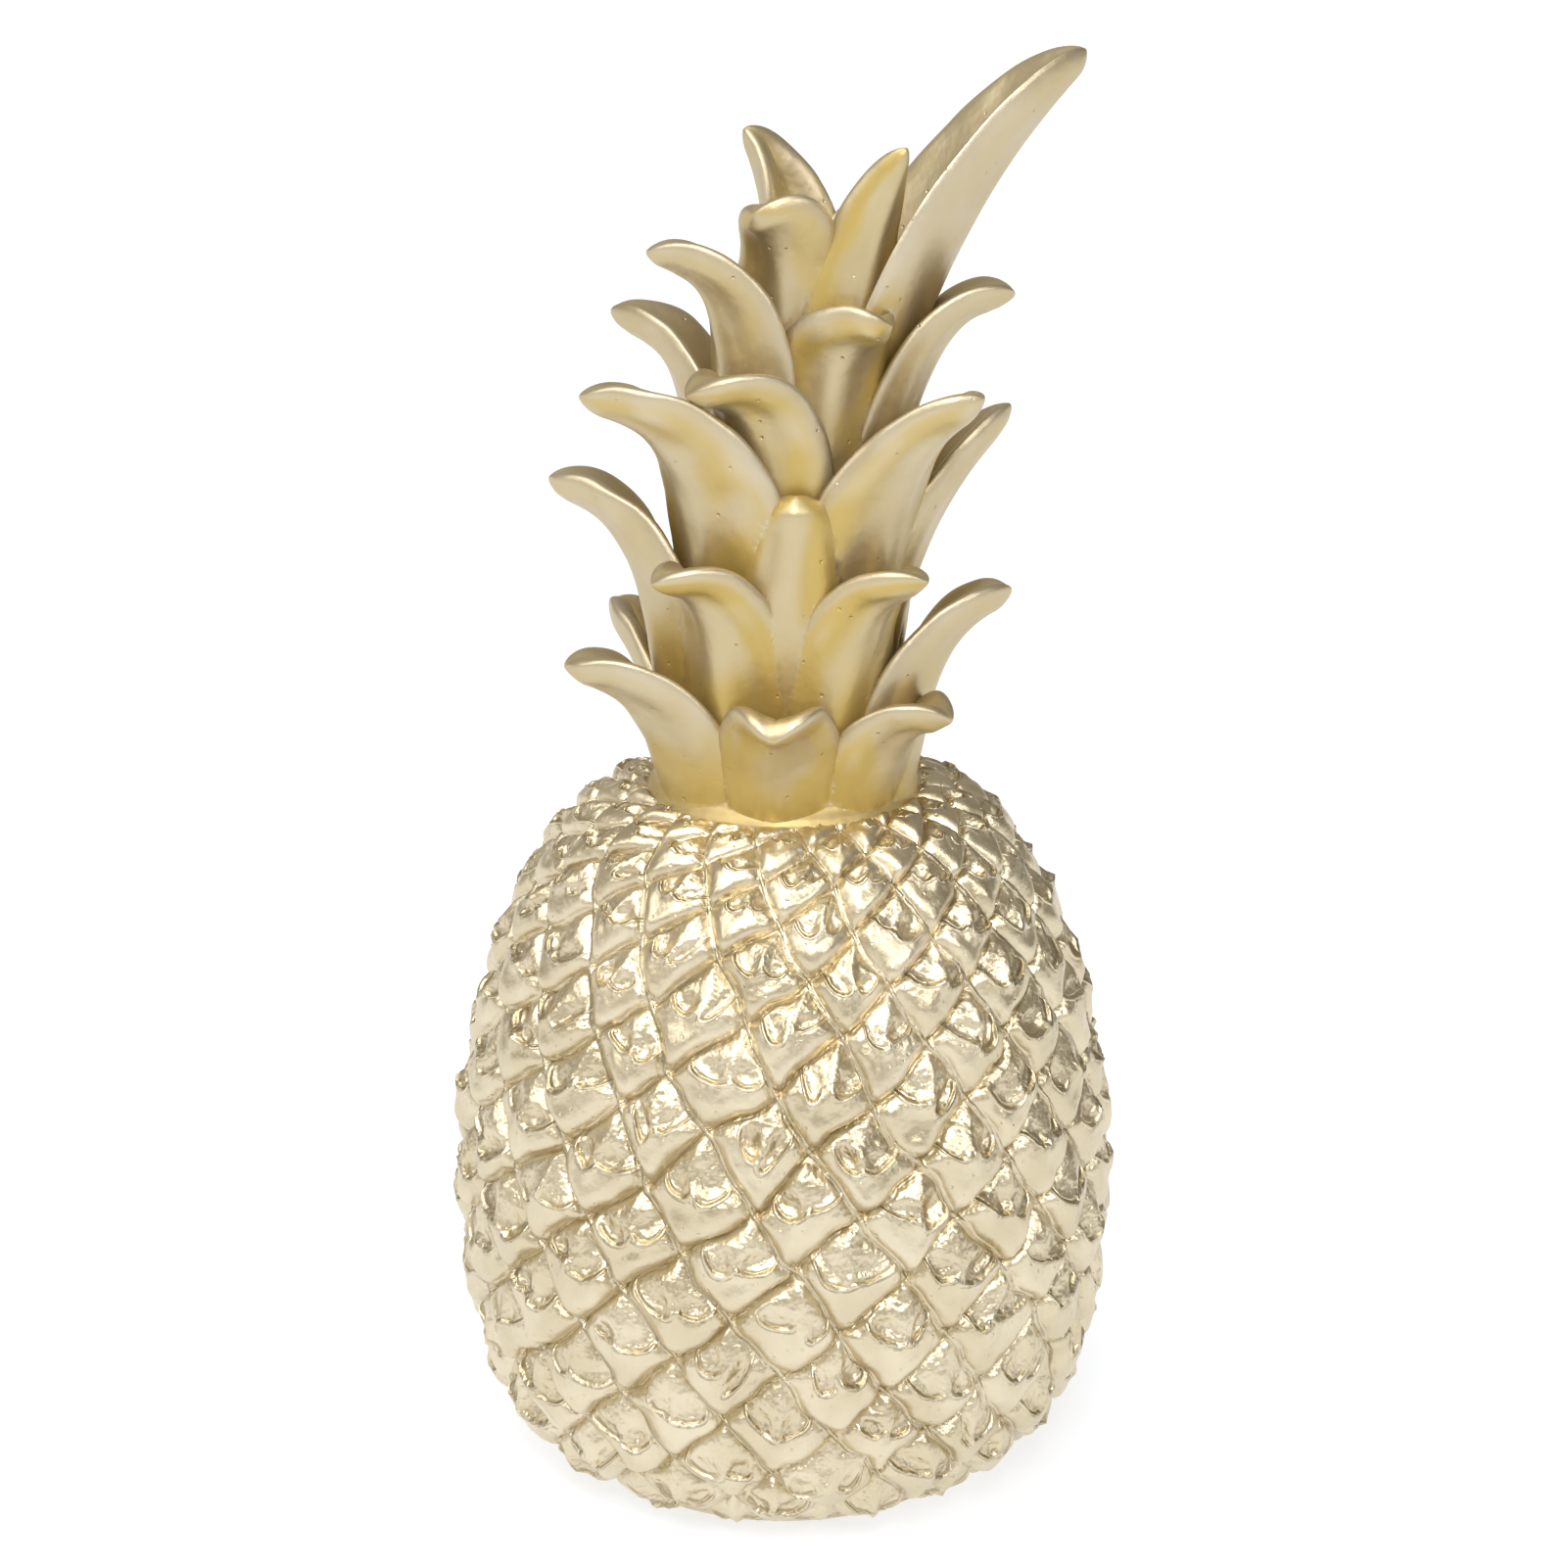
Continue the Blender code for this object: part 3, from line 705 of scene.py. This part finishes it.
class Graph:
    """The nodes of one owner, which is a material or the world."""

    def __init__(self, owner):
        owner.use_nodes = True
        self.owner = owner
        self.tree = owner.node_tree
        self.tree.nodes.clear()

    def add(self, kind, settings=None, inputs=None, output=0):
        """Add a node of this kind, set it, fill or link its sockets, and return one output."""
        node = self.tree.nodes.new("ShaderNode" + kind)
        for name, value in (settings or {}).items():
            setattr(node, name, value)
        for name, value in (inputs or {}).items():
            if isinstance(value, Wire):
                self.tree.links.new(value.socket, node.inputs[name])
            else:
                node.inputs[name].default_value = value
        return Wire(self, node.outputs[output]) if node.outputs else None

    def place(self):
        """Return the place on the piece in metres, which stays put however the piece moves."""
        return self.add("TexCoord", None, None, 3)

    def stored(self, name):
        """Return the number that the mesh keeps under this name for each of its points."""
        return self.add("Attribute", {"attribute_name": name}, None, 2)

    def mix(self, factor, first, second):
        """Blend two colours."""
        return self.add("Mix", {"data_type": "RGBA"}, {0: factor, 6: first, 7: second}, 2)

    def between(self, value, low, high, to_low=0.0, to_high=1.0):
        """Map a value smoothly from one range to another."""
        settings = {"interpolation_type": "SMOOTHSTEP"}
        return self.add("MapRange", settings, {0: value, 1: low, 2: high, 3: to_low, 4: to_high})

    def noise(self, where, scale, detail=3.0, roughness=0.5):
        """Return soft random values about 0.5, in cells of about 1 / scale metres."""
        return self.add("TexNoise", None, {"Vector": where, "Scale": scale, "Detail": detail,
                                           "Roughness": roughness})

    def to_pit(self, where, scale):
        """Return the distance to the nearest of many scattered points, as a share of a cell."""
        return self.add("TexVoronoi", {"feature": "F1"}, {"Vector": where, "Scale": scale})

    def bump(self, height):
        """Turn a height in millimetres into the way the surface seems to face."""
        return self.add("Bump", None, {"Strength": 1.0, "Distance": MM, "Height": height})

    def finish(self, inputs):
        """Add the surface shader with these inputs and the output, and return the material."""
        surface = self.add("BsdfPrincipled", None, inputs)
        self.add("OutputMaterial", None, {"Surface": surface})
        return self.owner


print("wires and graphs are ready")

# %% [markdown]
# ## The paint of the fruit
# The fruit is sprayed with a pearly champagne metallic and left glossy. The paint is a little uneven,
# like the skin of an orange, with a few pits where air sat in the mould. Deep in the grooves and in the
# creases of the hollows the colour is painted darker and more ochre, as painted shade. Metallic with a
# low roughness gives the bright and dark reflections.
# The bump adds what is too fine for the mesh: the cords and cracks in the grooves, drawn from the UV
# map, the thin rims and creases of the hollows, and a crumpled upper half on each scale.

# %% Fruit paint
CHAMPAGNE = (0.645, 0.555, 0.38, 1.0)
PALE_CHAMPAGNE = (0.74, 0.65, 0.475, 1.0)
# the ochre below is the colour of the painted shade in the grooves and the creases of the hollows
SHADE_OCHRE = (0.50, 0.37, 0.16, 1.0)


def fruit_paint():
    """Return the glossy paint, with painted shade in the grooves and the finest part of the relief."""
    paint = Graph(bpy.data.materials.new("champagne gloss"))
    where = paint.place()
    relief, ring, low = (paint.stored(name) for name in ("relief", "ring", "low"))
    cloud = paint.noise(where, 90.0, 2.0)
    speckle = paint.noise(where, 1400.0, 2.0)
    fine = paint.noise(where, 650.0, 3.0, 0.6)

    # painted shade: the deepest places in the grooves
    groove_shade = paint.between(relief, -2.2, -1.0, 1.0, 0.0)
    rim = paint.between(ring, 0.90, 1.03) * paint.between(ring, 1.08, 1.24, 1.0, 0.0)
    rim = rim * paint.between(low, -0.1, 0.5)
    crease = paint.between(ring, 0.68, 0.82) * paint.between(ring, 0.84, 0.95, 1.0, 0.0)
    crease = crease * paint.between(low, 0.1, 0.6)
    colour = paint.mix(paint.between(cloud, 0.35, 0.7), CHAMPAGNE, PALE_CHAMPAGNE)
    # painted shade: the grooves and the creases of the hollows turn darker and ochre
    colour = paint.mix(groove_shade * 0.65 + crease * 0.5, colour, SHADE_OCHRE)
    roughness = paint.between(speckle + cloud * 0.5, 0.5, 1.0, 0.32, 0.44)

    def to_groove(place, edge_length):
        """Return the distance to the nearer groove in millimetres, a little uneven."""
        share = paint.add("Math", {"operation": "PINGPONG"}, {0: place, 1: 0.5})
        return share * edge_length + fine * 0.4 - 0.2

    on_scale = paint.add("UVMap", {"uv_map": "scale"})
    place_a, place_b = (paint.add("SeparateXYZ", None, {0: on_scale}, axis) for axis in (0, 1))
    cord = paint.between(to_groove(place_b, EDGE_B), 0.12, 0.50, 0.24, 0.0)
    crack = paint.between(to_groove(place_a, EDGE_A), 0.05, 0.30, 0.12, 0.0)
    peel = fine * 0.12 + paint.noise(where, 260.0, 2.0) * 0.30
    crumpled = paint.between(place_a + place_b, 0.85, 1.15, 0.30, 0.0) * paint.noise(where, 800.0, 1.0)
    pits = paint.between(paint.to_pit(where, 420.0), 0.05, 0.16, -0.10, 0.0)
    height = peel + crumpled + (cord - crack) + pits + rim * 0.28 - crease * 0.22
    return paint.finish({"Base Color": colour, "Metallic": 1.0, "Roughness": roughness,
                         "Normal": paint.bump(height)})


fruit.data.materials.append(fruit_paint())
print("fruit painted")

# %% [markdown]
# ## The paint of the crown
# The leaves carry the same metal colour, but satin. Their rims and ridges are painted paler, as a
# painted highlight, and painted shade turns them ochre in the channels and near the stalk.
# The attribute `recess` says how deep a place lies among its neighbours, and the other attribute how
# strong the painted shade is there. Where it is strong the paint is also less metallic, so that it
# keeps its colour in a dark reflection.

# %% Crown paint
LEAF_GOLD = (0.55, 0.455, 0.275, 1.0)
# the pale below is a random paler tone and also the painted highlight on rims and ridges
LEAF_PALE = (0.605, 0.525, 0.375, 1.0)
# the ochre below is the colour of the painted shade on the crown
LEAF_SHADE_OCHRE = (0.53, 0.385, 0.115, 1.0)


def crown_paint():
    """Return the satin paint, with a painted highlight on rims and painted shade where the leaf says so.
    """
    paint = Graph(bpy.data.materials.new("champagne satin"))
    where = paint.place()
    recess, ochre_shade = (paint.stored(name) for name in ("recess", "ochre_shade"))
    cloud = paint.noise(where, 60.0, 3.0)
    colour = paint.mix(paint.between(cloud, 0.35, 0.68), LEAF_GOLD, LEAF_PALE)
    # painted shade: ochre where the stored number says the leaf lies in shade
    colour = paint.mix(paint.between(ochre_shade + (cloud - 0.5) * 0.4, 0.05, 1.1), colour, LEAF_SHADE_OCHRE)
    # painted highlight: paler where the surface bulges out, on rims and ridges
    colour = paint.mix(paint.between(recess, -0.3, -0.8), colour, LEAF_PALE)
    peel = paint.noise(where, 900.0, 3.0, 0.6) * 0.05 + paint.noise(where, 200.0, 2.0) * 0.25
    pits = paint.between(paint.to_pit(where, 260.0), 0.03, 0.10, -0.15, 0.0)
    return paint.finish({"Base Color": colour, "Metallic": paint.between(ochre_shade, 0.1, 0.9, 0.95, 0.55),
                         "Roughness": paint.between(recess, 0.1, 0.8, 0.44, 0.36),
                         "Normal": paint.bump(peel + pits)})


crown.data.materials.clear()
crown.data.materials.append(crown_paint())
print("crown painted")

# %% [markdown]
# ## Riding and replacing
# Both pieces are fixed to the one body of the model, and together they stand for its one solid.

# %% Tie the pieces to the model
for piece in (fruit, crown):
    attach(piece, "root")
    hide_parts("pineapple")
print(fruit.name, "and", crown.name, "ride on the root body")

# %% [markdown]
# ## Floor and light
# The photograph was taken on a white ground in a tent of white cloth, which lights the metal softly
# from all sides and shows in it as broad pale reflections. A large floor, a pale surrounding that is a
# little darker to the right, a broad sun and three big area lamps do the same here. The floor gives
# off some light of its own, so that it comes out white and lights the underside of the scales.

# %% Floor
FLOOR_REACH = 12.0

corners = [(x * FLOOR_REACH, y * FLOOR_REACH, 0.0) for x, y in ((-1, -1), (1, -1), (1, 1), (-1, 1))]
floor_mesh = bpy.data.meshes.new("floor")
floor_mesh.from_pydata(corners, [], [(0, 1, 2, 3)])
floor = bpy.data.objects.new("floor", floor_mesh)
scene.collection.objects.link(floor)
ground = Graph(bpy.data.materials.new("white ground"))
floor_mesh.materials.append(ground.finish({"Base Color": (0.36, 0.38, 0.42, 1.0), "Roughness": 0.6,
                                           "Emission Color": (1.0, 1.0, 1.0, 1.0),
                                           "Emission Strength": 0.70}))
print("floor of", 2 * FLOOR_REACH, "metres")

# %% Light
CLOTH = (1.0, 0.93, 0.81, 1.0)
LAMP_COLOUR = (0.97, 0.98, 1.0)
SUN_COLOUR = (0.94, 0.97, 1.0)

tent = Graph(bpy.data.worlds.new("tent"))
to_right = tent.add("SeparateXYZ", None, {0: tent.add("TexCoord")})
brightness = tent.between(to_right, -0.4, 0.95, 0.47, 0.28)
cloth = tent.add("Background", None, {"Color": CLOTH, "Strength": brightness})
tent.add("OutputWorld", None, {"Surface": cloth})
scene.world = tent.owner


def lamp(name, place, watts, width, height):
    """Add a rectangle of soft light at a place in metres, turned to the middle of the ornament."""
    light = bpy.data.lights.new(name, "AREA")
    light.shape = "RECTANGLE"
    light.size, light.size_y = width, height
    light.energy = watts
    light.color = LAMP_COLOUR
    made = bpy.data.objects.new(name, light)
    made.location = place
    made.rotation_euler = (LOOK_AT - Vector(place)).to_track_quat("-Z", "Y").to_euler()
    scene.collection.objects.link(made)


overhead = bpy.data.lights.new("overhead cloth", "SUN")
overhead.energy = 1.75
overhead.color = SUN_COLOUR
overhead.angle = math.radians(55.0)
overhead_lamp = bpy.data.objects.new("overhead cloth", overhead)
overhead_lamp.rotation_euler = (math.radians(18.0), math.radians(-14.0), 0.0)
scene.collection.objects.link(overhead_lamp)

lamp("left softbox", (-0.9, -0.5, 0.7), 1.6, 0.35, 0.5)
lamp("right softbox", (0.8, -0.8, 0.75), 2.8, 0.3, 0.4)
lamp("front softbox", (0.05, -1.0, 1.0), 6.5, 0.4, 0.4)
print("lit")

# %% [markdown]
# ## Bringing the scene up to date
# The view layer is updated once more, so that every piece stands where it was put. The finished
# surface has to stay close to the box of the solid model.

# %% Update
bpy.context.view_layer.update()
